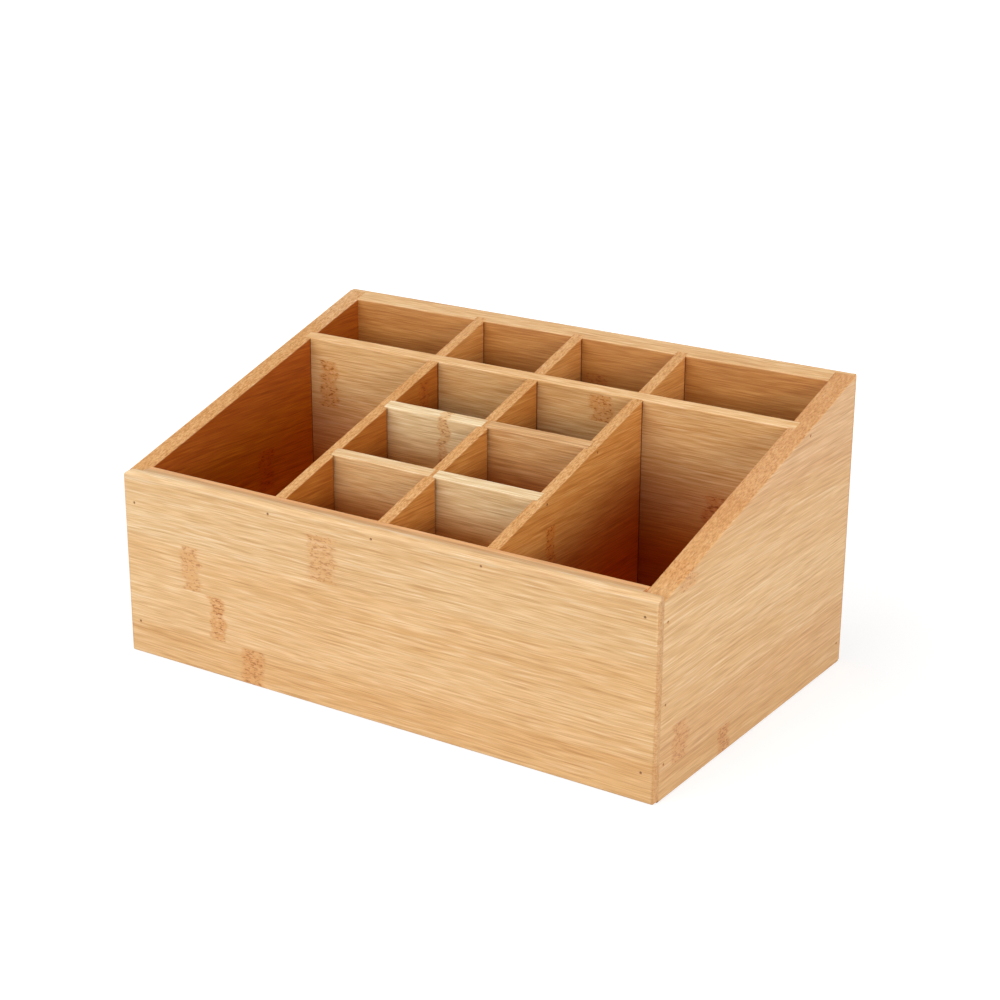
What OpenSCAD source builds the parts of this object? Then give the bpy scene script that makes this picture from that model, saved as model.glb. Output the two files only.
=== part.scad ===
// Desk organizer of glued and nailed bamboo boards: four outer boards, a floor and a grid
// of thin dividers, with all their tops on one slope that climbs from front to back.
// x runs to the right, y to the back and z up, and the origin is on the base at its centre.
// Places along y are first measured back from the front face, then moved all together.

/* [Case] */
// Outside width, left to right
case_w = 254; // [220:1:300]
// Outside depth, front to back
case_d = 158.75; // [140:0.25:190]
// Height of the slope at the back face, before the edge there is rounded
back_h = 125.6; // [110:0.2:150]
// Height of the front board
front_h = 80.8; // [65:0.2:95]
// Thickness of the front, back and side boards
wall_t = 9; // [8:0.5:12]
// Thickness of the lips of the front and back boards that cover the ends of the sides
lip_t = 3; // [3:0.25:4.5]

/* [Floor] */
// Thickness of the floor panel
floor_t = 5; // [3:0.5:7]
// Height of the floor panel's underside above the table
floor_lift = 3; // [2:0.5:6]
// Depth of the groove in the outer boards that holds the floor panel's edges
groove_d = 3; // [2:0.5:4]

/* [Dividers] */
// Thickness of every divider and slat
inner_t = 5; // [4:0.25:6.5]
// Distance between the middles of neighbouring long dividers
column_pitch = 50.6; // [42:0.2:60]
// Clear depth of the back row of compartments
back_row_d = 30.3; // [24:0.1:40]
// Number of slats one behind another between two long dividers
slat_rows = 2; // [2:1:3]
// Depth that each end of a slat is let into a long divider
slat_housing_d = 1.75; // [0.5:0.25:1.75]
// Play in front of a slat's end, where its housing is cut wider than the slat
slat_play = 0.6; // [0.1:0.1:1]
// Depth that each end of the rear divider is let into a side board
divider_housing_d = 3; // [1:0.5:4]
// Depth that the short dividers are let into the back board
short_housing_d = 2; // [1:0.5:4]

/* [Edges] */
// Radius of the front board's upright corners
corner_r = 1.75; // [0.5:0.25:2.75]
// Radius of the back board's upright corners and of its top corners
back_corner_r = 2.75; // [0.5:0.25:2.75]
// Radius of the front board's top left corner, seen from the front
left_tip_r = 5; // [1:0.5:7]
// Radius of the front board's top right corner, seen from the front
right_tip_r = 1.5; // [1:0.5:7]
// Radius of the front and back boards' bottom corners, seen from the front
toe_r = 2; // [0.5:0.25:4]
// Radius along the front board's top edge
nose_r = 3; // [1:0.25:4]
// Radius along the outer top edges of the side boards
rim_r = 0.75; // [0.5:0.25:2.5]
// Radius along the outer top edge of the back board
back_rim_r = 1.5; // [0.5:0.25:2.5]
// Radius along the outer bottom edges
foot_r = 1; // [0.25:0.25:2]
// Radius of the sanded top edges of the dividers and of the inner top edges
ease_r = 0.4; // [0.2:0.1:1]

/* [Brads] */
// Diameter of a brad's shank
brad_d = 0.7; // [0.6:0.1:0.8]
// Diameter of a brad's head
head_d = 1; // [0.9:0.1:1.6]
// Thickness of a brad's head
head_t = 0.4; // [0.3:0.1:1]
// Length of a brad from head to point
brad_l = 15; // [12:0.5:18]
// Length of a brad's point
point_l = 1.5; // [1:0.5:3]
// Depth of a brad's head below the surface
brad_set = 0.3; // [0.1:0.1:1]
// Gap between a brad and the wall of its hole
brad_gap = 0.05; // [0.02:0.01:0.1]
// Distance of the corner brads from the ends of the front and back boards
corner_brad_in = 6; // [5:0.5:7]
// Unit of the height between brads, so that none meet where they cross inside a corner
brad_step = 2.8; // [2.4:0.1:3.4]

/* [Hidden] */

// Facets of a turned brad and its hole, and steps of a rounded edge
$fn = 24;
arc_steps = 6;
// Overrun of a cutting shape past what it cuts
over = 1;

// Half the width outside and inside, and the clear run of y between front and back
half_w = case_w / 2;
half_in = half_w - wall_t;
back_y = case_d - wall_t;
// Rise of the slope and its angle: it joins the front board's inner edge to the back edge
slope = (back_h - front_h) / (case_d - wall_t);
slope_a = atan(slope);
floor_top = floor_lift + floor_t;
// Front face of the rear divider, and clear depth of a small cell before it
rear_y = back_y - back_row_d - inner_t;
cell_d = (rear_y - wall_t - slat_rows * inner_t) / (slat_rows + 1);
// Middle of the part of the front or back board that stands between the sides
core_mid = (lip_t + wall_t) / 2;
// Share of a thin board's thickness at which the brads enter its end, and how far that is
// off the board's middle
thin_brad_share = 0.35;
thin_brad_off = (0.5 - thin_brad_share) * inner_t;
// Angle at which the rounding of the front board's top corners runs out along the sides
tip_a = 40;
// Share of the front's height at which the middle brad of a side stands
mid_brad_share = 0.47;

// Height of the slope at a distance y behind the front face
function slope_z(y) = front_h + slope * (y - wall_t);
// Middle and two faces of a long or short divider: side is -1, 0 or 1
function column_x(side) = side * column_pitch;
function column_faces(side) = [column_x(side) - inner_t / 2, column_x(side) + inner_t / 2];
// Front face of a slat, counted from the front
function slat_y(row) = wall_t + (row + 1) * cell_d + row * inner_t;

// Points of an arc of radius r that rounds corner p between its neighbours a and b
function corner_arc(a, p, b, r) =
    let (
        to_a = (a - p) / norm(a - p),
        to_b = (b - p) / norm(b - p),
        half = acos(to_a * to_b) / 2,
        centre = p + (to_a + to_b) / norm(to_a + to_b) * r / sin(half),
        first = p + to_a * r / tan(half) - centre,
        last = p + to_b * r / tan(half) - centre,
        turn = 180 - 2 * half,
        way = sign(first.x * last.y - first.y * last.x)
    )
    [for (i = [0:arc_steps])
        let (t = way * turn * i / arc_steps)
        centre + [first.x * cos(t) - first.y * sin(t), first.x * sin(t) + first.y * cos(t)]];

// Outline with each corner rounded by its own radius, and left sharp where that is zero
function rounded(points, radii) =
    let (n = len(points))
    [for (i = [0:n - 1])
        each (radii[i] > 0
            ? corner_arc(points[(i + n - 1) % n], points[i], points[(i + 1) % n], radii[i])
            : [points[i]])];

// Moves what was measured from the front face to the middle of the case
module in_place() {
    translate([0, -case_d / 2, 0]) children();
}

// Prism along x with its outline in y and z
module along_x(x0, x1, outline) {
    translate([x0, 0, 0]) rotate([90, 0, 90]) linear_extrude(x1 - x0) polygon(outline);
}

// Prism along y with its outline in x and z
module along_y(y0, y1, outline) {
    translate([0, y1, 0]) rotate([90, 0, 0]) linear_extrude(y1 - y0) polygon(outline);
}

// Box given by its two ends on each axis
module block(x, y, z) {
    translate([x[0], y[0], z[0]]) cube([x[1] - x[0], y[1] - y[0], z[1] - z[0]]);
}

// Board that runs across the case on the floor, with its top on the slope
module cross_board(x, y) {
    outline = [[y[0], floor_top], [y[1], floor_top], [y[1], slope_z(y[1])], [y[0], slope_z(y[0])]];
    along_x(x[0], x[1], rounded(outline, [0, 0, ease_r, ease_r]));
}

// Bar that lies along the slope and rounds the two long top edges of what it meets
module slope_bar(x, y, left_r, right_r) {
    run = (y[1] - y[0]) / cos(slope_a);
    outline = [[x[0], -2 * back_h], [x[1], -2 * back_h], [x[1], 0], [x[0], 0]];
    translate([0, y[0], slope_z(y[0])]) rotate([slope_a, 0, 0])
        along_y(-back_h, run + back_h, rounded(outline, [0, 0, right_r, left_r]));
}

// Board that runs from front to back, with its top on the slope and its long edges rounded
module deep_board(x, y, z0, left_r, right_r) {
    outline = [[y[0], z0], [y[1], z0], [y[1], slope_z(y[1])], [y[0], slope_z(y[0])]];
    intersection() {
        along_x(x[0], x[1], outline);
        slope_bar(x, y, left_r, right_r);
    }
}

// Brad along z, head up, with its head sunk below z = 0
module brad() {
    translate([0, 0, -brad_set]) rotate_extrude() polygon([
        [0, 0], [head_d / 2, 0], [head_d / 2, -head_t], [brad_d / 2, -head_t],
        [brad_d / 2, point_l - brad_l], [0, -brad_l]
    ]);
}

// Hole of a brad: its shape with the gap all round, open above and closed at the point
module brad_hole() {
    head_hole_r = head_d / 2 + brad_gap;
    shank_hole_r = brad_d / 2 + brad_gap;
    depth = brad_set + brad_l;
    rotate_extrude() polygon([
        [0, over], [head_hole_r, over], [head_hole_r, -brad_set - head_t],
        [shank_hole_r, -brad_set - head_t], [shank_hole_r, -depth], [0, -depth]
    ]);
}

// Height of the lowest brad in a front corner: on the left the one in the front face is the
// higher of the two that cross there, and on the right the one in the side's face
function low_brad_z(side) = floor_top + (side > 0 ? 2.3 : 1.4) * brad_step;

// Places of the brads in the front board's face, as x and z: two at each end, then one
// into the front end of each long divider
front_places = [
    [corner_brad_in - half_w, front_h - 4.9 * brad_step],
    [half_w - corner_brad_in, front_h - 2.9 * brad_step],
    [corner_brad_in - half_w, low_brad_z(1)],
    [half_w - corner_brad_in, low_brad_z(-1)],
    for (side = [-1:1]) [column_x(side) + thin_brad_off, front_h - 1.5 * brad_step]
];
module at_front_places() {
    for (p = front_places)
        translate([p.x, 0, p.y]) rotate([90, 0, 0]) children();
}

// The same in the back board's face, where the middle ones hold the short dividers
back_places = [
    for (side = [-1, 1]) [side * (half_w - corner_brad_in), back_h - 5 * brad_step],
    for (side = [-1, 1]) [side * (half_w - corner_brad_in), floor_top + 4 * brad_step],
    for (side = [-1:1]) [column_x(side), slope_z(back_y) - 2 * brad_step]
];
module at_back_places() {
    for (p = back_places)
        translate([p.x, case_d, p.y]) rotate([-90, 0, 0]) children();
}

// Places in a side board's outer face, as y and z: three into the front board, one low in
// the back board and one into the end of the rear divider
rear_brad_y = rear_y + thin_brad_share * inner_t;
function side_places(side) = [
    [core_mid, front_h - 3.8 * brad_step],
    [core_mid, mid_brad_share * front_h],
    [core_mid, low_brad_z(side)],
    [case_d - core_mid, floor_top + 0.6 * brad_step],
    [rear_brad_y, slope_z(rear_brad_y) - brad_step]
];
module at_side_places(side) {
    for (p = side_places(side))
        translate([side * half_w, p.x, p.y]) rotate([0, side * 90, 0]) children();
}

// Places in the outer long dividers' faces, one into the end of each slat
module at_slat_places(side) {
    for (row = [0:slat_rows - 1]) {
        y = slat_y(row) + thin_brad_share * inner_t;
        translate([column_x(side) + side * inner_t / 2, y, slope_z(y) - 0.8 * brad_step])
            rotate([0, side * 90, 0]) children();
    }
}

// Outline in plan of the front board: a lip across the whole width and a core behind it,
// with its corners rounded by r
function board_plan(r) = rounded(
    [[-half_w, 0], [half_w, 0], [half_w, lip_t], [half_in, lip_t],
     [half_in, wall_t], [-half_in, wall_t], [-half_in, lip_t], [-half_w, lip_t]],
    [r, r, 0, 0, 0, 0, 0, 0]);

// Ring of groove in the inner faces of the outer boards that the floor's edges fill
module floor_groove() {
    block([-half_in - groove_d, half_in + groove_d], [wall_t - groove_d, back_y + groove_d],
          [floor_lift, floor_top]);
}

// Front board: flat on top, with a rounded top edge and the floor's groove behind
module front_board() {
    side_view = rounded([[0, 0], [wall_t, 0], [wall_t, front_h], [0, front_h]],
                        [foot_r, 0, ease_r, nose_r]);
    face = rounded([[-half_w, 0], [half_w, 0], [half_w, front_h], [-half_w, front_h]],
                   [toe_r, toe_r, right_tip_r, left_tip_r]);
    color([0.93, 0.78, 0.58]) in_place() difference() {
        intersection() {
            linear_extrude(front_h) polygon(board_plan(corner_r));
            along_x(-half_w, half_w, side_view);
            along_y(0, wall_t, face);
        }
        floor_groove();
        at_front_places() brad_hole();
        for (side = [-1, 1]) at_side_places(side) brad_hole();
    }
}

// Back board: the front board's plan turned round, cut to the slope on top
module back_board() {
    side_view = rounded([[back_y, 0], [case_d, 0], [case_d, back_h], [back_y, slope_z(back_y)]],
                        [0, foot_r, back_rim_r, ease_r]);
    face = rounded([[-half_w, 0], [half_w, 0], [half_w, back_h], [-half_w, back_h]],
                   [toe_r, toe_r, back_corner_r, back_corner_r]);
    y = [back_y, case_d];
    color([0.86, 0.68, 0.47]) in_place() difference() {
        intersection() {
            translate([0, case_d, 0]) mirror([0, 1, 0])
                linear_extrude(back_h) polygon(board_plan(back_corner_r));
            along_x(-half_w, half_w, side_view);
            along_y(back_y, case_d, face);
            slope_bar([-half_w, half_w], y, rim_r, rim_r);
        }
        floor_groove();
        at_back_places() brad_hole();
        for (side = [-1, 1]) at_side_places(side) brad_hole();
        for (side = [-1:1])
            block(column_faces(side), [back_y - over, back_y + short_housing_d],
                  [floor_top, back_h + over]);
    }
}

// Bar on a steeper line that rounds a side board's rim by r where it meets the front board's
// tip, and leaves the rim alone farther back
module tip_bar(r) {
    outline = [[-half_w, -2 * back_h], [half_w, -2 * back_h], [half_w, 0], [-half_w, 0]];
    translate([0, lip_t, front_h - r + r / cos(tip_a)]) rotate([tip_a, 0, 0])
        along_y(-back_h, 2 * case_d, rounded(outline, [0, 0, r, r]));
}

// Side board on the right, or its mirror image on the left, held between the two lips
module side_board(side) {
    x = [half_in, half_w];
    y = [lip_t, case_d - lip_t];
    end_view = rounded([[half_in, 0], [half_w, 0], [half_w, 2 * back_h], [half_in, 2 * back_h]],
                       [0, foot_r, 0, 0]);
    in_place() difference() {
        mirror([side < 0 ? 1 : 0, 0, 0]) intersection() {
            deep_board(x, y, 0, ease_r, rim_r);
            along_y(y[0], y[1], end_view);
            tip_bar(side < 0 ? left_tip_r : right_tip_r);
        }
        floor_groove();
        block([-half_in - divider_housing_d, half_in + divider_housing_d],
              [rear_y, rear_y + inner_t], [floor_top, back_h + over]);
        at_front_places() brad_hole();
        at_back_places() brad_hole();
        at_side_places(side) brad_hole();
    }
}
module left_side_board() {
    color([0.85, 0.66, 0.45]) side_board(-1);
}
module right_side_board() {
    color([0.88, 0.69, 0.50]) side_board(1);
}

// Floor panel, with its edges in the grooves of the four outer boards
module floor_panel() {
    color([0.82, 0.62, 0.40]) in_place() floor_groove();
}

// Rear divider, right across the case, with its ends let into the sides
module rear_divider() {
    reach = half_in + divider_housing_d;
    color([0.91, 0.74, 0.54]) in_place() difference() {
        cross_board([-reach, reach], [rear_y, rear_y + inner_t]);
        for (side = [-1, 1]) at_side_places(side) brad_hole();
    }
}

// Long divider from the front board to the rear divider, with housings for the slats
module long_divider(side) {
    x = column_faces(side);
    in_place() difference() {
        deep_board(x, [wall_t, rear_y], floor_top, ease_r, ease_r);
        for (row = [0:slat_rows - 1]) {
            y = [slat_y(row) - slat_play, slat_y(row) + inner_t];
            if (side > -1)
                block([x[0] - over, x[0] + slat_housing_d], y, [floor_top - over, back_h]);
            if (side < 1)
                block([x[1] - slat_housing_d, x[1] + over], y, [floor_top - over, back_h]);
        }
        at_front_places() brad_hole();
        if (side != 0) at_slat_places(side) brad_hole();
    }
}
module left_long_divider() {
    color([0.83, 0.62, 0.40]) long_divider(-1);
}
module centre_long_divider() {
    color([0.84, 0.64, 0.42]) long_divider(0);
}
module right_long_divider() {
    color([0.80, 0.58, 0.36]) long_divider(1);
}

// Short divider of the back row, butted to the rear divider and let into the back board
module short_divider(side) {
    x = column_faces(side);
    in_place() difference() {
        deep_board(x, [rear_y + inner_t, back_y + short_housing_d], floor_top, ease_r, ease_r);
        at_back_places() brad_hole();
    }
}
module left_short_divider() {
    color([0.86, 0.68, 0.46]) short_divider(-1);
}
module centre_short_divider() {
    color([0.84, 0.65, 0.43]) short_divider(0);
}
module right_short_divider() {
    color([0.87, 0.69, 0.48]) short_divider(1);
}

// Slat between the centre divider and the one on its left or right, with its ends let in
module slat(side, row) {
    reach = inner_t / 2 - slat_housing_d;
    x = side > 0 ? [reach, column_pitch - reach] : [reach - column_pitch, -reach];
    in_place() difference() {
        cross_board(x, [slat_y(row), slat_y(row) + inner_t]);
        at_slat_places(side) brad_hole();
    }
}
// The rearmost row of slats has nodes of its own, and any rows before it are the front ones
module front_slats(side) {
    for (row = [0:slat_rows - 2]) slat(side, row);
}
module left_front_slat() {
    color([0.95, 0.84, 0.66]) front_slats(-1);
}
module left_rear_slat() {
    color([0.97, 0.88, 0.70]) slat(-1, slat_rows - 1);
}
module right_front_slat() {
    color([0.96, 0.86, 0.67]) front_slats(1);
}
module right_rear_slat() {
    color([0.78, 0.56, 0.36]) slat(1, slat_rows - 1);
}

// Steel brads, a group for each board face that they are driven through
module front_brads() {
    color([0.35, 0.31, 0.27]) in_place() at_front_places() brad();
}
module back_brads() {
    color([0.35, 0.31, 0.27]) in_place() at_back_places() brad();
}
module left_side_brads() {
    color([0.35, 0.31, 0.27]) in_place() at_side_places(-1) brad();
}
module right_side_brads() {
    color([0.35, 0.31, 0.27]) in_place() at_side_places(1) brad();
}
module left_divider_brads() {
    color([0.35, 0.31, 0.27]) in_place() at_slat_places(-1) brad();
}
module right_divider_brads() {
    color([0.35, 0.31, 0.27]) in_place() at_slat_places(1) brad();
}

front_board();
back_board();
left_side_board();
right_side_board();
floor_panel();
rear_divider();
left_long_divider();
centre_long_divider();
right_long_divider();
left_short_divider();
centre_short_divider();
right_short_divider();
left_front_slat();
left_rear_slat();
right_front_slat();
right_rear_slat();
front_brads();
back_brads();
left_side_brads();
right_side_brads();
left_divider_brads();
right_divider_brads();
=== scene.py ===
import math

import bmesh
import bpy
from mathutils import Matrix, Vector


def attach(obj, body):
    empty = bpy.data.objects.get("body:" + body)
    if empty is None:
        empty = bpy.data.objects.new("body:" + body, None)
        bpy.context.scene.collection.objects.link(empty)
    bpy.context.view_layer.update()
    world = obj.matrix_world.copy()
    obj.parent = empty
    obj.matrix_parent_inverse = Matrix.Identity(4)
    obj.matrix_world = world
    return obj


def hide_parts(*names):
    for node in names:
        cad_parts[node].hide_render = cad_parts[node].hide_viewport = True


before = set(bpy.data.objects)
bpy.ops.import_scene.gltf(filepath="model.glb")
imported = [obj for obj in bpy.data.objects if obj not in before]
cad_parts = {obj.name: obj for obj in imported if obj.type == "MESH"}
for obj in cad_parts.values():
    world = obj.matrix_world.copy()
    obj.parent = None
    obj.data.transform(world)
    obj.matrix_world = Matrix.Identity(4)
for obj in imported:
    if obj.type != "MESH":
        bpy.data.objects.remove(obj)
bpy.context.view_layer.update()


# Front board: one wide bamboo board, glued up from strips laid edge to edge and clear coated.
# Its top edge is sanded to a nose, and its ends carry lips over the ends of the side boards.
# It is glued and nailed to the sides and to the front ends of the long dividers.
def shade(red, green, blue):
    """A colour, or a tint that multiplies one."""
    return (red, green, blue, 1.0)


def deepened(colour, shares):
    """A colour cut down to a share of its red, of its green and of its blue."""
    return shade(*(part * share for part, share in zip(colour, shares)))


def paled(colour, shares):
    """A colour taken towards white by a share in its red, in its green and in its blue."""
    return shade(*(part + (1.0 - part) * share for part, share in zip(colour, shares)))


def feed(tree, socket, value):
    """A socket takes another node's output, or a constant."""
    if isinstance(value, bpy.types.NodeSocket):
        tree.links.new(value, socket)
    else:
        socket.default_value = value


def add(tree, kind, inputs, out=0, **settings):
    """Adds a node with its settings and inputs, and returns one of its outputs."""
    made = tree.nodes.new(kind)
    for name, value in settings.items():
        setattr(made, name, value)
    for key, value in inputs.items():
        feed(tree, made.inputs[key], value)
    return made.outputs[out]


def calc(tree, operation, a, b=0.0):
    """Works on one value, or on two."""
    return add(tree, "ShaderNodeMath", {0: a, 1: b}, operation=operation)


def vector_calc(tree, operation, a, b, out=0):
    """Works on two vectors."""
    return add(tree, "ShaderNodeVectorMath", {0: a, 1: b}, out=out, operation=operation)


def ramp(tree, value, start, end, low=0.0, high=1.0):
    """Goes smoothly from low to high as value goes from start to end."""
    return add(tree, "ShaderNodeMapRange", {0: value, 1: start, 2: end, 3: low, 4: high},
               interpolation_type="SMOOTHSTEP")


def tint(tree, share, colour, over, blend="MIX"):
    """Lays a colour over another by a share."""
    return add(tree, "ShaderNodeMix", {0: share, 6: over, 7: colour}, out=2,
               data_type="RGBA", blend_type=blend)


def cells(tree, place, long, wide):
    """A place counted in cells that are long with the grain and wide across it."""
    return vector_calc(tree, "DIVIDE", place, (long, wide, wide))


def noise(tree, place, detail, rough=0.5, twist=0.0, out=0):
    """Cloudy noise, about one cloud to a cell."""
    return add(tree, "ShaderNodeTexNoise",
               {"Vector": place, "Scale": 1.0, "Detail": detail, "Roughness": rough, "Distortion": twist},
               out=out)


def new_group(name, inputs, outputs):
    """A shader group with named sockets, and its inputs and outputs as the nodes inside see them."""
    kinds = {"vector": "NodeSocketVector", "value": "NodeSocketFloat"}
    tree = bpy.data.node_groups.new(name, "ShaderNodeTree")
    for socket, kind in inputs.items():
        tree.interface.new_socket(socket, in_out="INPUT", socket_type=kinds[kind])
    for socket, kind in outputs.items():
        tree.interface.new_socket(socket, in_out="OUTPUT", socket_type=kinds[kind])
    start = tree.nodes.new("NodeGroupInput")
    end = tree.nodes.new("NodeGroupOutput")
    return tree, start.outputs, end.inputs


def place_group(tree, group, inputs):
    """Puts a shader group into a material and returns its outputs."""
    made = tree.nodes.new("ShaderNodeGroup")
    made.node_tree = group
    for name, value in inputs.items():
        feed(tree, made.inputs[name], value)
    return made.outputs


def strips_group():
    """Splits a board into its glued strips: the seams, a tone for each, and its own place in the cane."""
    seam_width = 0.00016
    cane_reach = (0.9, 0.0, 0.3)
    tree, start, end = new_group(
        "bamboo_strips",
        {"Board": "vector", "Pitch": "value", "Start": "value", "Seed": "value"},
        {"Seam": "value", "Tone": "value", "Cane": "vector"})
    across = add(tree, "ShaderNodeSeparateXYZ", {0: start["Board"]}, out=1)
    turns = calc(tree, "DIVIDE", calc(tree, "SUBTRACT", across, start["Start"]), start["Pitch"])
    index = calc(tree, "FLOOR", turns)
    part = calc(tree, "SUBTRACT", turns, index)
    nearest = calc(tree, "MINIMUM", part, calc(tree, "SUBTRACT", 1.0, part))
    distance = calc(tree, "MULTIPLY", nearest, start["Pitch"])
    key = calc(tree, "ADD", index, start["Seed"])
    random = add(tree, "ShaderNodeTexWhiteNoise", {"W": key}, out=1, noise_dimensions="1D")
    shift = vector_calc(tree, "MULTIPLY", random, cane_reach)
    feed(tree, end["Seam"], ramp(tree, distance, 0.0, seam_width, low=1.0, high=0.0))
    feed(tree, end["Tone"], add(tree, "ShaderNodeSeparateXYZ", {0: random}, out=1))
    feed(tree, end["Cane"], vector_calc(tree, "ADD", start["Board"], shift))
    return tree


def fibres_group():
    """The cane's fibres, drawn as long thin cells: streaks along a board, specks on a cut end."""
    drift_reach = 0.003
    tree, start, end = new_group(
        "bamboo_fibres", {"Cane": "vector"},
        {"Bundle": "value", "Streak": "value", "Gleam": "value", "Fine": "value", "Hair": "value",
         "Broad": "value"})
    drift = noise(tree, cells(tree, start["Cane"], long=0.09, wide=0.03), detail=1.0, out=1)
    drift = vector_calc(tree, "SUBTRACT", drift, (0.5, 0.5, 0.5))
    drift = vector_calc(tree, "MULTIPLY", drift, (0.0, drift_reach, drift_reach))
    cane = vector_calc(tree, "ADD", start["Cane"], drift)

    def grain(long, wide, detail, rough=0.5):
        """Lines of a length and a width that follow the cane's drift."""
        return noise(tree, cells(tree, cane, long, wide), detail, rough)

    bundle_place = cells(tree, cane, long=0.034, wide=0.0008)
    from_bundle = add(tree, "ShaderNodeTexVoronoi", {"Vector": bundle_place, "Scale": 1.0})
    lines = grain(long=0.032, wide=0.00095, detail=2.0, rough=0.65)
    threads = grain(long=0.015, wide=0.0006, detail=1.0)
    hairs = grain(long=0.011, wide=0.00036, detail=0.0)
    feed(tree, end["Bundle"], ramp(tree, from_bundle, 0.12, 0.5, low=1.0, high=0.0))
    feed(tree, end["Streak"], ramp(tree, lines, 0.53, 0.66))
    feed(tree, end["Gleam"], ramp(tree, lines, 0.47, 0.34))
    feed(tree, end["Fine"], ramp(tree, threads, 0.30, 0.70))
    feed(tree, end["Hair"], ramp(tree, hairs, 0.32, 0.68))
    feed(tree, end["Broad"], grain(long=0.13, wide=0.0045, detail=2.0))
    return tree


def node_group():
    """The mark that a joint of the cane leaves on a strip: a brown band with short dark dashes."""
    wander_reach = 0.008
    full_share = 0.55
    tree, start, end = new_group(
        "bamboo_node",
        {"Board": "vector", "Centre": "value", "Low": "value", "High": "value", "Half": "value"},
        {"Band": "value", "Dash": "value", "Bright": "value"})
    parts = tree.nodes.new("ShaderNodeSeparateXYZ")
    feed(tree, parts.inputs[0], start["Board"])
    wander = noise(tree, cells(tree, start["Board"], long=0.02, wide=0.004), detail=1.0)
    wander = calc(tree, "MULTIPLY", calc(tree, "SUBTRACT", wander, 0.5), wander_reach)
    offset = calc(tree, "ADD", calc(tree, "SUBTRACT", parts.outputs[0], start["Centre"]), wander)
    share = calc(tree, "DIVIDE", calc(tree, "ABSOLUTE", offset), start["Half"])
    along = ramp(tree, share, full_share, 1.0, low=1.0, high=0.0)
    above = calc(tree, "GREATER_THAN", parts.outputs[1], start["Low"])
    below = calc(tree, "LESS_THAN", parts.outputs[1], start["High"])
    band = calc(tree, "MULTIPLY", along, calc(tree, "MULTIPLY", above, below))
    dash = noise(tree, cells(tree, start["Board"], long=0.0021, wide=0.0008), detail=2.0, twist=0.6)
    feed(tree, end["Band"], band)
    feed(tree, end["Dash"], calc(tree, "MULTIPLY", band, ramp(tree, dash, 0.54, 0.64)))
    feed(tree, end["Bright"], calc(tree, "MULTIPLY", band, ramp(tree, dash, 0.44, 0.34)))
    return tree


def inside_and_shade_depth_group():
    """Tells the faces inside the compartments from the outer ones, and how deep a place lies below the
    slope: masks for the painted shade inside and for the dark joints there.
    """
    half_width, half_depth = 0.1182, 0.0706
    slope_foot, front_height, slope_rise = 0.070375, 0.0808, 0.2992
    middle_height = front_height + slope_rise * slope_foot
    rim = 0.0008
    shallowest_share = 0.2
    tree, start, end = new_group(
        "inside_faces_and_shade_depth", {"Place": "vector", "Deepest": "value"}, {"Inside": "value", "Depth": "value"})
    parts = tree.nodes.new("ShaderNodeSeparateXYZ")
    feed(tree, parts.inputs[0], start["Place"])
    across = calc(tree, "LESS_THAN", calc(tree, "ABSOLUTE", parts.outputs[0]), half_width)
    along = calc(tree, "LESS_THAN", calc(tree, "ABSOLUTE", parts.outputs[1]), half_depth)
    top = calc(tree, "ADD", calc(tree, "MULTIPLY", parts.outputs[1], slope_rise), middle_height)
    below = calc(tree, "SUBTRACT", top, parts.outputs[2])
    inside = calc(tree, "MULTIPLY", across, along)
    shallowest = calc(tree, "MULTIPLY", start["Deepest"], shallowest_share)
    # The depth mask carries painted shade: it grows from a share of the full depth down to the full depth.
    depth = ramp(tree, below, shallowest, start["Deepest"])
    feed(tree, end["Inside"], calc(tree, "MULTIPLY", inside, ramp(tree, below, 0.0, rim)))
    feed(tree, end["Depth"], calc(tree, "MULTIPLY", inside, depth))
    return tree


STRIPS = strips_group()
FIBRES = fibres_group()
NODE_MARK = node_group()
INSIDE_AND_SHADE_DEPTH = inside_and_shade_depth_group()

# What is left of a tone where it turns brown, rusty or to bark, and how far it turns to cream.
BROWNING = (0.72, 0.62, 0.50)
RUSTING = (0.88, 0.66, 0.42)
BARKING = (0.50, 0.27, 0.13)
CREAMING = (0.30, 0.28, 0.22)


def cane_colour(tree, strip, fibre, cut, light, dark, streak, specks):
    """The bare cane: its broad tones, with brown streaks, creamy gleams and bundles of fibres."""
    broad_share, strip_share = 0.7, 0.3
    gleam_share, bundle_share = 0.42, 0.10
    brown = deepened(dark, BROWNING)
    depth = calc(tree, "ADD", calc(tree, "MULTIPLY", fibre["Broad"], broad_share),
                 calc(tree, "MULTIPLY", strip["Tone"], strip_share))
    colour = tint(tree, ramp(tree, depth, 0.25, 0.75), dark, light)
    colour = tint(tree, calc(tree, "MULTIPLY", fibre["Streak"], streak), brown, colour)
    gleam = calc(tree, "MULTIPLY", fibre["Gleam"], gleam_share)
    colour = tint(tree, gleam, paled(light, CREAMING), colour)
    bundles = calc(tree, "ADD", bundle_share, calc(tree, "MULTIPLY", cut, specks))
    return tint(tree, calc(tree, "MULTIPLY", fibre["Bundle"], bundles), brown, colour)


def threaded(tree, fibre, hair, colour):
    """The finest threads of the cane, light and dark by turns, and hairs that are darker still."""
    pale_thread, dark_thread = shade(1.04, 1.06, 1.09), shade(0.91, 0.85, 0.75)
    dark_hair = shade(0.86, 0.77, 0.66)
    thread = tint(tree, fibre["Fine"], pale_thread, dark_thread)
    colour = tint(tree, 1.0, thread, colour, "MULTIPLY")
    return tint(tree, calc(tree, "MULTIPLY", fibre["Hair"], hair), dark_hair, colour, "MULTIPLY")


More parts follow.
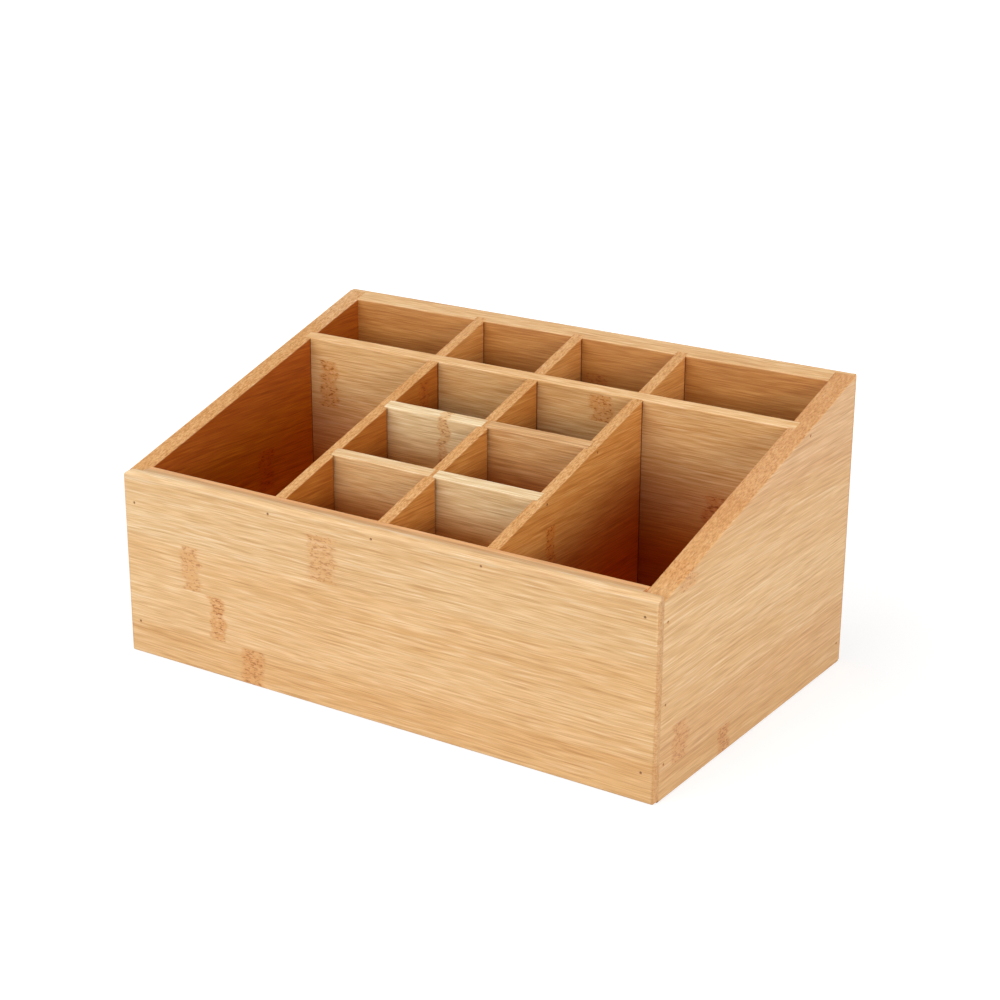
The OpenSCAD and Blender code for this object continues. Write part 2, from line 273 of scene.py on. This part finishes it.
def marked(tree, board, light, dark, mark, colour):
    """A joint of the cane laid over a board: rust, then pale fibres, then dashes of bark."""
    rust_share, cream_share, bark_share = 0.62, 0.22, 0.80
    centre, low, high, half, strength = mark
    joint = place_group(tree, NODE_MARK,
                        {"Board": board, "Centre": centre, "Low": low, "High": high, "Half": half})
    rust = calc(tree, "MULTIPLY", joint["Band"], rust_share * strength)
    cream = calc(tree, "MULTIPLY", joint["Bright"], cream_share * strength)
    bark = calc(tree, "MULTIPLY", joint["Dash"], bark_share * strength)
    colour = tint(tree, rust, deepened(dark, RUSTING), colour)
    colour = tint(tree, cream, paled(light, CREAMING), colour)
    return tint(tree, bark, deepened(dark, BARKING), colour)


def seamed(tree, along, side, inside, seam, colour):
    """A dark joint across the faces inside: all of them, or those that look one way."""
    joint_tint = shade(0.30, 0.16, 0.10)
    hardly, fully = 0.2, 0.8
    first, last, way = seam
    past = calc(tree, "GREATER_THAN", along, first)
    joint = calc(tree, "MULTIPLY", past, calc(tree, "LESS_THAN", along, last))
    joint = calc(tree, "MULTIPLY", joint, inside)
    if way:
        joint = calc(tree, "MULTIPLY", joint, ramp(tree, side, hardly * way, fully * way))
    return tint(tree, joint, joint_tint, colour, "MULTIPLY")


# Painted shade for the faces inside the compartments: a tint near their tops, and a deeper, redder one
# lower down. After them, the tint of the boards' cut ends.
INSIDE_SHADE_TOP = shade(0.94, 0.84, 0.68)
INSIDE_SHADE_DEEP = shade(0.74, 0.44, 0.16)
CUT = shade(0.92, 0.80, 0.68)


def bamboo(name, grain, light, dark, pitch, start, seed, marks=(), inner_shade=INSIDE_SHADE_TOP, deep_shade=INSIDE_SHADE_DEEP, full_shade_depth=0.055,
           cut_tint=CUT, specks=0.50, tones=(), inside_light_and_shade_tones=(), seams=(), streak=0.45, hair=0.6, gloss=0.5):
    """A bamboo finish for one board. grain is the axis that its fibres follow and the axis that
    its strips are stacked on, with a pitch, a start and a seed for their tones.
    marks are the cane's joints that show on it: the middle of each with the grain, its lowest
    and highest place across it, half its width and its strength.
    The inner tint is a painted shade on the faces inside the compartments, and the deep tint a deeper
    painted shade on top of it on the way down, fully so from the depth given for it below the slope. tones
    tint whatever lies past a place on an axis, and the inner tones only the faces inside, as painted light
    and painted shade.
    seams are dark joints across the faces inside that look one way, or across all where it is 0."""
    cut_from, cut_to, glue_line_share = 0.05, 0.28, 0.35
    satin, thread_rough, cut_rough = 0.44, 0.12, 0.15
    relief, relief_share, streak_drop = 0.00005, 0.25, 0.5
    material = bpy.data.materials.new(name)
    material.use_nodes = True
    tree = material.node_tree
    shader = tree.nodes["Principled BSDF"]
    shader.inputs["Specular IOR Level"].default_value = gloss
    place = tree.nodes.new("ShaderNodeTexCoord").outputs["Object"]
    axes = tree.nodes.new("ShaderNodeSeparateXYZ")
    feed(tree, axes.inputs[0], place)
    order = {letter: axes.outputs[letter.upper()] for letter in "xyz"}
    through = next(letter for letter in "xyz" if letter not in grain)
    board = add(tree, "ShaderNodeCombineXYZ",
                {0: order[grain[0]], 1: order[grain[1]], 2: order[through]})
    strip = place_group(tree, STRIPS, {"Board": board, "Pitch": pitch, "Start": start, "Seed": seed})
    fibre = place_group(tree, FIBRES, {"Cane": strip["Cane"]})
    inside = place_group(tree, INSIDE_AND_SHADE_DEPTH, {"Place": place, "Deepest": full_shade_depth})

    normal = tree.nodes.new("ShaderNodeNewGeometry").outputs["Normal"]
    lengthwise = tuple(1.0 if letter == grain[0] else 0.0 for letter in "xyz")
    sideways = tuple(1.0 if letter == through else 0.0 for letter in "xyz")
    facing = calc(tree, "ABSOLUTE", vector_calc(tree, "DOT_PRODUCT", normal, lengthwise, out=1))
    side = vector_calc(tree, "DOT_PRODUCT", normal, sideways, out=1)
    cut = ramp(tree, facing, cut_from, cut_to)

    colour = cane_colour(tree, strip, fibre, cut, light, dark, streak, specks)
    colour = tint(tree, cut, cut_tint, colour, "MULTIPLY")
    colour = threaded(tree, fibre, hair, colour)
    for mark in marks:
        colour = marked(tree, board, light, dark, mark, colour)
    glue_line = calc(tree, "MULTIPLY", strip["Seam"], glue_line_share)
    colour = tint(tree, glue_line, deepened(dark, BROWNING), colour)
    for axis, first, last, tone in tones:
        colour = tint(tree, ramp(tree, order[axis], first, last), tone, colour, "MULTIPLY")
    # Painted shade: the faces inside the compartments take a tint, and a deeper, redder one the further
    # they lie below the slope.
    colour = tint(tree, inside["Inside"], inner_shade, colour, "MULTIPLY")
    colour = tint(tree, inside["Depth"], deep_shade, colour, "MULTIPLY")
    # Painted light and painted shade on the faces inside alone, paler or darker past a place on an axis.
    for axis, first, last, tone in inside_light_and_shade_tones:
        past = calc(tree, "MULTIPLY", inside["Inside"], ramp(tree, order[axis], first, last))
        colour = tint(tree, past, tone, colour, "MULTIPLY")
    for seam in seams:
        colour = seamed(tree, order[grain[0]], side, inside["Inside"], seam, colour)
    feed(tree, shader.inputs["Base Color"], colour)

    rough = calc(tree, "ADD", satin, calc(tree, "MULTIPLY", fibre["Fine"], thread_rough))
    rough = calc(tree, "ADD", rough, calc(tree, "MULTIPLY", cut, cut_rough))
    feed(tree, shader.inputs["Roughness"], rough)
    height = calc(tree, "SUBTRACT", fibre["Fine"], calc(tree, "MULTIPLY", fibre["Streak"], streak_drop))
    bump = add(tree, "ShaderNodeBump", {"Strength": relief_share, "Distance": relief, "Height": height})
    feed(tree, shader.inputs["Normal"], bump)
    return material


# Points of a solid that lie closer than this are one point.
TOUCHING = 0.000002


def dress_board(node, finish):
    """A board's solid with its triangles merged and every arris sanded off, in its own finish."""
    arris = 0.00025
    flat_within, sharp_from = math.radians(0.3), math.radians(32)
    shape = bmesh.new()
    shape.from_mesh(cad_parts[node].data)
    bmesh.ops.remove_doubles(shape, verts=shape.verts, dist=TOUCHING)
    bmesh.ops.dissolve_limit(shape, angle_limit=flat_within, verts=shape.verts, edges=shape.edges)
    for face in shape.faces:
        face.smooth = True
    mesh = bpy.data.meshes.new(node + "_sanded")
    shape.to_mesh(mesh)
    shape.free()
    mesh.materials.append(finish)
    piece = bpy.data.objects.new(node + "_sanded", mesh)
    bpy.context.scene.collection.objects.link(piece)
    sanding = piece.modifiers.new("arris", "BEVEL")
    sanding.width = arris
    sanding.segments = 2
    sanding.limit_method = "ANGLE"
    sanding.angle_limit = sharp_from
    flat = piece.modifiers.new("flat_faces", "WEIGHTED_NORMAL")
    flat.mode = "FACE_AREA"
    flat.weight = 100
    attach(piece, "root")
    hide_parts(node)


HONEY = shade(0.75, 0.445, 0.19)
STRAW = shade(0.83, 0.55, 0.28)

front_marks = [
    (-0.0605, 0.0, 0.0157, 0.0070, 0.9),
    (-0.0783, 0.0157, 0.0345, 0.0045, 1.1),
    (-0.0915, 0.0345, 0.0537, 0.0060, 0.8),
    (-0.0235, 0.0537, 0.0728, 0.0085, 0.7),
]
# The strips from the ground up, the left end, and the nose's outer edge and its top. The last tone is a
# painted highlight along the back arris of the top, which pales the board's back face too.
front_tones_and_highlight = [
    ("z", 0.040, 0.014, shade(0.99, 0.97, 0.95)),
    ("z", 0.0160, 0.0154, shade(0.96, 0.92, 0.86)),
    ("z", 0.052, 0.056, shade(0.99, 1.03, 1.09)),
    ("z", 0.0765, 0.0785, shade(0.96, 1.00, 1.07)),
    ("x", -0.030, -0.110, shade(1.01, 1.04, 1.08)),
    ("y", -0.0767, -0.0746, shade(0.88, 0.71, 0.54)),
    ("y", -0.0741, -0.0724, shade(1.35, 1.34, 1.37)),
]
# Its face inside the compartments carries the painted shade that every board takes by default.
dress_board("front_board",
            bamboo("front_bamboo", "xz", STRAW, HONEY, pitch=0.0191, start=-0.0034, seed=11.0,
                   marks=front_marks, cut_tint=shade(0.86, 0.78, 0.73), specks=0.10, tones=front_tones_and_highlight))


# Back board: a wide bamboo board like the front one, but full height and cut to the slope on
# top. It is glued and nailed to the sides, and takes the short dividers' back ends.
back_marks = [
    (0.052, 0.0146, 0.0333, 0.006, 0.9),
    (-0.071, 0.052, 0.0707, 0.006, 0.8),
    (0.011, 0.0894, 0.1081, 0.006, 0.8),
]
# Its face inside the back row carries painted shade, in a tint of its own.
dress_board("back_board",
            bamboo("back_bamboo", "xz", STRAW, HONEY, pitch=0.0187, start=-0.0041, seed=23.0,
                   marks=back_marks, inner_shade=shade(0.67, 0.45, 0.205), hair=1.2))


# Side boards: two bamboo boards sawn to the slope on top, where the fibres show as specks.
# Their ends stand between the lips of the front and back boards, glued and nailed.
# Painted shade for the right side board's face inside.
RIGHT_SIDE_INSIDE_SHADE = shade(0.90, 0.66, 0.36)
right_marks = [
    (-0.0615, 0.0116, 0.027, 0.0065, 0.7),
    (-0.0268, 0.0, 0.0116, 0.0060, 1.0),
    (-0.0587, 0.078, 0.090, 0.0070, 0.7),
]
right_tones = [
    ("z", 0.0292, 0.0286, shade(0.92, 0.84, 0.76)),
    ("z", 0.0118, 0.0114, shade(0.97, 0.96, 0.90)),
    ("z", 0.085, 0.100, shade(0.94, 0.88, 0.86)),
]
dress_board("right_side_board",
            bamboo("right_side_bamboo", "yz", STRAW, HONEY, pitch=0.0173, start=-0.0057, seed=37.0,
                   marks=right_marks, inner_shade=RIGHT_SIDE_INSIDE_SHADE, tones=right_tones))

left_marks = [
    (0.0015, 0.0503, 0.0684, 0.006, 0.9),
    (-0.04, 0.0141, 0.0322, 0.006, 0.8),
]
# A painted sheen: paler and bluer at the board's high rear end.
left_high_end_sheen = ("z", 0.112, 0.120, shade(1.07, 1.16, 1.38))
left_divider_joint = (0.0347, 0.0351, 0)
# Its face inside carries a strong painted shade, darkest near the top and redder lower down.
dress_board("left_side_board",
            bamboo("left_side_bamboo", "yz", STRAW, HONEY, pitch=0.0181, start=-0.0022, seed=41.0,
                   marks=left_marks, inner_shade=shade(0.505, 0.185, 0.022), deep_shade=shade(1.88, 2.08, 0.52),
                   full_shade_depth=0.045, tones=[left_high_end_sheen], seams=[left_divider_joint],
                   streak=0.6, hair=1.6, gloss=0.25))


# Floor panel: a thin bamboo board, glued up from strips as the others are. It isn't nailed,
# and is held in a groove in the four outer boards.
floor_marks = [
    (0.03, -0.0166, 0.004, 0.006, 0.8),
    (-0.062, 0.0246, 0.0452, 0.006, 0.8),
]
# Its top inside the compartments carries the default painted shade.
dress_board("floor_panel",
            bamboo("floor_bamboo", "xy", STRAW, HONEY, pitch=0.0206, start=0.004, seed=53.0,
                   marks=floor_marks))


# Rear divider: one thin bamboo board right across the case, warmer than the outer boards.
# Its ends are let into the side boards and glued, and it stops the long dividers' back ends.
APRICOT = shade(0.87, 0.575, 0.30)
GINGER = shade(0.79, 0.47, 0.205)
rear_marks = [
    (-0.108, 0.0816, 0.1031, 0.006, 1.1),
    (0.034, 0.0997, 0.111, 0.006, 1.2),
    (0.089, 0.060, 0.0775, 0.008, 1.2),
]
# Painted light: paler in the right bay, and on the faces inside the left bay. Painted shade: darker and
# redder low in the bays.
right_bay_painted_light = ("x", 0.047, 0.055, shade(1.04, 1.07, 1.12))
left_bay_painted_light = ("x", -0.046, -0.054, shade(1.14, 1.22, 1.32))
low_in_bays_painted_shade = ("z", 0.076, 0.050, shade(0.97, 1.06, 0.45))
# Its faces inside also carry painted shade, which turns dark red towards the bottom.
dress_board("rear_divider",
            bamboo("rear_divider_bamboo", "xz", APRICOT, GINGER, pitch=0.0215, start=0.0029, seed=61.0,
                   marks=rear_marks, inner_shade=shade(0.75, 0.68, 0.56), deep_shade=shade(0.59, 0.135, 0.001),
                   full_shade_depth=0.068, tones=[right_bay_painted_light], inside_light_and_shade_tones=[left_bay_painted_light, low_in_bays_painted_shade],
                   streak=0.32, hair=1.0, gloss=0.2))


# Long dividers: three thin bamboo boards from the front board to the rear divider, with
# shallow housings for the slats' ends. Brads hold their front ends, and glue their back ends.
# Painted shade on the faces inside: each divider's own tint near the top, then a deeper, redder one lower
# down.
long_divider_deep_shade = shade(1.10, 0.50, 0.03)
for name, seed, inner_shade, mark, way in (
        ("left", 71.0, shade(0.58, 0.29, 0.07), (0.0247, 0.080, 0.106, 0.0045, 1.1), 1),
        ("centre", 73.0, shade(0.72, 0.46, 0.20), (0.012, 0.030, 0.052, 0.006, 0.8), 0),
        ("right", 79.0, shade(0.79, 0.565, 0.295), (-0.0335, 0.060, 0.0787, 0.004, 1.3), -1)):
    front_slat_joint, rear_slat_joint = (-0.0393, -0.0386, way), (-0.0025, -0.0018, way)
    back_end_joint = (0.0343, 0.0352, 0)
    dress_board(name + "_long_divider",
                bamboo(name + "_long_bamboo", "yz", STRAW, HONEY, pitch=0.0215, start=0.0014, seed=seed,
                       marks=[mark], inner_shade=inner_shade, deep_shade=long_divider_deep_shade, full_shade_depth=0.070,
                       seams=[front_slat_joint, rear_slat_joint, back_end_joint], hair=1.2, gloss=0.25))


# Short dividers: three thin bamboo boards of the back row, glued in line with the long
# dividers and let into the back board.
# Painted shade on their faces inside the back row.
short_divider_inner_shade = shade(0.84, 0.60, 0.33)
back_board_joint = (0.0696, 0.0704, 0)
for name, seed in (("left", 83.0), ("centre", 89.0), ("right", 97.0)):
    dress_board(name + "_short_divider",
                bamboo(name + "_short_bamboo", "yz", STRAW, HONEY, pitch=0.0215, start=0.0014, seed=seed,
                       inner_shade=short_divider_inner_shade, seams=[back_board_joint], hair=1.0))


# Slats: four thin boards whose ends sit in the long dividers' housings. Three are of pale
# cane, and the right rear one is of brown cane.
PALE = shade(0.90, 0.72, 0.46)
BUFF = shade(0.80, 0.60, 0.36)
RUSSET = shade(0.51, 0.265, 0.10)
# Painted shade on the slats' faces inside the cells, deeper and redder lower down.
slat_inner_shade, slat_deep_shade = shade(0.83, 0.76, 0.66), shade(0.88, 0.40, 0.03)
slat_joint_of_cane = (-0.0206, 0.06, 0.11, 0.0032, 1.2)
for name, slot, light, dark, seed, marks in (
        ("left_front", "pale_bamboo", BUFF, STRAW, 101.0, []),
        ("left_rear", "pale_bamboo", PALE, BUFF, 103.0, [slat_joint_of_cane]),
        ("right_front", "pale_bamboo", PALE, BUFF, 107.0, []),
        ("right_rear", "brown_bamboo", HONEY, RUSSET, 109.0, [])):
    dress_board(name + "_slat",
                bamboo(name + "_slat_bamboo", "xz", light, dark, pitch=0.0215, start=0.0044, seed=seed,
                       marks=marks, inner_shade=slat_inner_shade, deep_shade=slat_deep_shade, full_shade_depth=0.030, hair=1.0))


# Brads: thin steel wire nails with small round heads, driven just below the boards' faces.
# They hold the boards at the corners, at the dividers' ends and at the slats' ends.
def dull_steel():
    """Bare wire gone brown under the clear coat, a little lighter where the hammer hit it."""
    stain_scale, stain_relief = 2600.0, 0.00003
    hit, gone_brown = shade(0.40, 0.235, 0.12), shade(0.24, 0.135, 0.07)
    material = bpy.data.materials.new("dull_steel")
    material.use_nodes = True
    tree = material.node_tree
    shader = tree.nodes["Principled BSDF"]
    place = tree.nodes.new("ShaderNodeTexCoord").outputs["Object"]
    stain = add(tree, "ShaderNodeTexNoise", {"Vector": place, "Scale": stain_scale, "Detail": 3.0})
    colour = tint(tree, ramp(tree, stain, 0.35, 0.65), hit, gone_brown)
    feed(tree, shader.inputs["Base Color"], colour)
    feed(tree, shader.inputs["Roughness"], ramp(tree, stain, 0.3, 0.7, low=0.62, high=0.45))
    shader.inputs["Metallic"].default_value = 0.25
    shader.inputs["Specular IOR Level"].default_value = 0.2
    bump = add(tree, "ShaderNodeBump", {"Strength": 0.4, "Distance": stain_relief, "Height": stain})
    feed(tree, shader.inputs["Normal"], bump)
    return material


def brad_tree(finish):
    """Sets a brad at each point, with its head's top there and its head towards Way."""
    round_sides, tip_r, chamfer_share = 20, 0.00005, 0.2
    tree = bpy.data.node_groups.new("brad_on_point", "GeometryNodeTree")
    tree.is_modifier = True
    tree.interface.new_socket("Places", in_out="INPUT", socket_type="NodeSocketGeometry")
    for name in ("Head Radius", "Head Depth", "Wire Radius", "Length", "Point Length"):
        tree.interface.new_socket(name, in_out="INPUT", socket_type="NodeSocketFloat")
    tree.interface.new_socket("Way", in_out="INPUT", socket_type="NodeSocketVector")
    tree.interface.new_socket("Brads", in_out="OUTPUT", socket_type="NodeSocketGeometry")
    start = tree.nodes.new("NodeGroupInput").outputs
    end = tree.nodes.new("NodeGroupOutput").inputs

    def turned(bottom, top, depth, lowest):
        """A round length of the brad, wider or narrower at its top, standing on a height."""
        length = add(tree, "GeometryNodeMeshCone", {
            "Vertices": round_sides, "Radius Top": top, "Radius Bottom": bottom, "Depth": depth})
        lift = add(tree, "ShaderNodeCombineXYZ", {2: lowest})
        return add(tree, "GeometryNodeTransform", {"Geometry": length, "Translation": lift})

    head_r, wire_r = start["Head Radius"], start["Wire Radius"]
    chamfer = calc(tree, "MULTIPLY", head_r, chamfer_share)
    plate = calc(tree, "SUBTRACT", start["Head Depth"], chamfer)
    under = calc(tree, "MULTIPLY", start["Head Depth"], -1.0)
    tip = calc(tree, "MULTIPLY", start["Length"], -1.0)
    shoulder = calc(tree, "ADD", tip, start["Point Length"])
    wire_l = calc(tree, "SUBTRACT", under, shoulder)
    crown_r = calc(tree, "SUBTRACT", head_r, chamfer)
    parts = [
        turned(head_r, crown_r, chamfer, calc(tree, "MULTIPLY", chamfer, -1.0)),
        turned(head_r, head_r, plate, under),
        turned(wire_r, wire_r, wire_l, shoulder),
        turned(tip_r, wire_r, start["Point Length"], tip),
    ]
    join = tree.nodes.new("GeometryNodeJoinGeometry")
    for part in reversed(parts):
        tree.links.new(part, join.inputs[0])
    turn = add(tree, "FunctionNodeAlignRotationToVector", {"Vector": start["Way"]}, axis="Z")
    points = add(tree, "GeometryNodeMeshToPoints", {"Mesh": start["Places"]})
    brads = add(tree, "GeometryNodeInstanceOnPoints", {
        "Points": points, "Instance": join.outputs[0], "Rotation": turn})
    real = add(tree, "GeometryNodeRealizeInstances", {"Geometry": brads})
    feed(tree, end["Brads"], add(tree, "GeometryNodeSetMaterial", {"Geometry": real, "Material": finish}))
    return tree


def brad_places(node, way):
    """The middle of each brad head's top, read off the solids of the model."""
    shape = bmesh.new()
    shape.from_mesh(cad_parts[node].data)
    bmesh.ops.remove_doubles(shape, verts=shape.verts, dist=TOUCHING)
    places, found = [], set()
    for first in shape.verts:
        if first in found:
            continue
        found.add(first)
        brad = [first]
        for vert in brad:
            for edge in vert.link_edges:
                other = edge.other_vert(vert)
                if other not in found:
                    found.add(other)
                    brad.append(other)
        top = max(vert.co.dot(way) for vert in brad)
        middle = sum((vert.co for vert in brad), Vector()) / len(brad)
        places.append(middle + way * (top - middle.dot(way)))
    shape.free()
    return places


brad_sizes = {"Head Radius": 0.0005, "Head Depth": 0.0004, "Wire Radius": 0.00035, "Length": 0.015,
              "Point Length": 0.0015}


def drive_brads(node, tree, way):
    """All the brads driven into one face."""
    inputs = {**brad_sizes, "Way": way}
    points = bpy.data.meshes.new(node + "_places")
    points.from_pydata(brad_places(node, Vector(way)), [], [])
    holder = bpy.data.objects.new(node + "_places", points)
    bpy.context.scene.collection.objects.link(holder)
    modifier = holder.modifiers.new("brads", "NODES")
    modifier.node_group = tree
    for socket in tree.interface.items_tree:
        if socket.name in inputs:
            modifier[socket.identifier] = inputs[socket.name]
    ready = holder.evaluated_get(bpy.context.evaluated_depsgraph_get())
    mesh = bpy.data.meshes.new_from_object(ready)
    bpy.data.objects.remove(holder)
    piece = bpy.data.objects.new(node + "_driven", mesh)
    bpy.context.scene.collection.objects.link(piece)
    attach(piece, "root")
    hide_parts(node)


brad_nails = brad_tree(dull_steel())
for node, way in (
        ("front_brads", (0, -1, 0)),
        ("back_brads", (0, 1, 0)),
        ("left_side_brads", (-1, 0, 0)),
        ("right_side_brads", (1, 0, 0)),
        ("left_divider_brads", (-1, 0, 0)),
        ("right_divider_brads", (1, 0, 0))):
    drive_brads(node, brad_nails, way)


# Floor of the studio: a wide white sheet that the organizer stands on, no part of it.
# It shows the soft shadow near the organizer and fades to plain white farther away.
def seen_straight(tree):
    """Tells what the camera or a reflection sees from what only lights the object."""
    path = tree.nodes.new("ShaderNodeLightPath")
    return calc(tree, "MAXIMUM", path.outputs["Is Camera Ray"], path.outputs["Is Glossy Ray"])


def studio_floor():
    """The sheet, which glows only where it is seen, so that its light leaves the object alone."""
    half = 3.0
    near, far, near_glow, far_glow = 0.15, 0.55, 0.75, 1.0
    mesh = bpy.data.meshes.new("studio_floor")
    corners = [(-half, -half, 0), (half, -half, 0), (half, half, 0), (-half, half, 0)]
    mesh.from_pydata(corners, [], [(0, 1, 2, 3)])
    floor = bpy.data.objects.new("studio_floor", mesh)
    bpy.context.scene.collection.objects.link(floor)
    material = bpy.data.materials.new("white_sheet")
    material.use_nodes = True
    tree = material.node_tree
    tree.nodes.remove(tree.nodes["Principled BSDF"])
    sheet = add(tree, "ShaderNodeBsdfDiffuse", {"Color": shade(0.35, 0.35, 0.35)})
    place = tree.nodes.new("ShaderNodeTexCoord").outputs["Object"]
    away = add(tree, "ShaderNodeVectorMath", {0: place}, out=1, operation="LENGTH")
    strength = ramp(tree, away, near, far, near_glow, far_glow)
    glow = add(tree, "ShaderNodeEmission", {"Color": shade(1, 1, 1), "Strength": strength})
    lit = add(tree, "ShaderNodeAddShader", {0: sheet, 1: glow})
    out = add(tree, "ShaderNodeMixShader", {0: seen_straight(tree), 1: sheet, 2: lit})
    tree.links.new(out, tree.nodes["Material Output"].inputs["Surface"])
    mesh.materials.append(material)


studio_floor()


# Studio light: a white tent all round, with soft boxes in front and above, and long soft
# strips on the right, on the left and behind. The tent is white where seen, and lights little.
tent_light, tent_white = 0.12, 1.0
world = bpy.data.worlds.new("tent")
world.use_nodes = True
bpy.context.scene.world = world
air = world.node_tree
dome = air.nodes["Background"]
feed(air, dome.inputs["Color"], shade(1, 1, 1))
feed(air, dome.inputs["Strength"], ramp(air, seen_straight(air), 0.0, 1.0, tent_light, tent_white))


def soft_box(name, place, target, size, watts):
    """A flat lamp turned towards the target."""
    lamp = bpy.data.lights.new(name, "AREA")
    lamp.shape = "RECTANGLE"
    lamp.size, lamp.size_y = size
    lamp.energy = watts
    box = bpy.data.objects.new(name, lamp)
    box.location = place
    box.rotation_euler = (Vector(target) - Vector(place)).to_track_quat("-Z", "Y").to_euler()
    bpy.context.scene.collection.objects.link(box)


middle_of_case = (0.0, 0.0, 0.06)
strip_size = (1.6, 0.3)
for name, place, size, watts in (
        ("front_box", (-0.43, -1.21, 0.48), (1.2, 0.6), 11.3),
        ("top_box", (-0.1, -0.3, 1.25), (0.8, 0.8), 7.2),
        ("right_strip", (1.27, -0.35, 0.40), strip_size, 14.2),
        ("left_strip", (-1.3, 0.05, 0.12), strip_size, 7.0),
        ("back_strip", (0.0, 1.3, 0.12), strip_size, 7.0)):
    soft_box(name, place, middle_of_case, size, watts)


# Camera: at the photograph's viewing angle, in front of the right corner and above it.
# Colours are shown as the light makes them, with no film look on top.
def camera():
    """The camera, looking down on the organizer, with a slight roll."""
    lens, sensor = 75.741, 36.0
    azimuth, elevation, roll = math.radians(33.461), math.radians(19.453), math.radians(0.278)
    data = bpy.data.cameras.new("view")
    data.lens, data.sensor_width = lens, sensor
    eye = bpy.data.objects.new("view", data)
    ahead = Vector((-math.sin(azimuth) * math.cos(elevation), math.cos(azimuth) * math.cos(elevation),
                    -math.sin(elevation)))
    level = ahead.cross(Vector((0, 0, 1))).normalized()
    upright = level.cross(ahead)
    right = level * math.cos(roll) + upright * math.sin(roll)
    up = upright * math.cos(roll) - level * math.sin(roll)
    eye.matrix_world = Matrix((right, up, -ahead)).transposed().to_4x4()
    eye.location = (0.45513, -0.67778, 0.35752)
    bpy.context.scene.collection.objects.link(eye)
    bpy.context.scene.camera = eye


camera()
bpy.context.scene.view_settings.view_transform = "Standard"
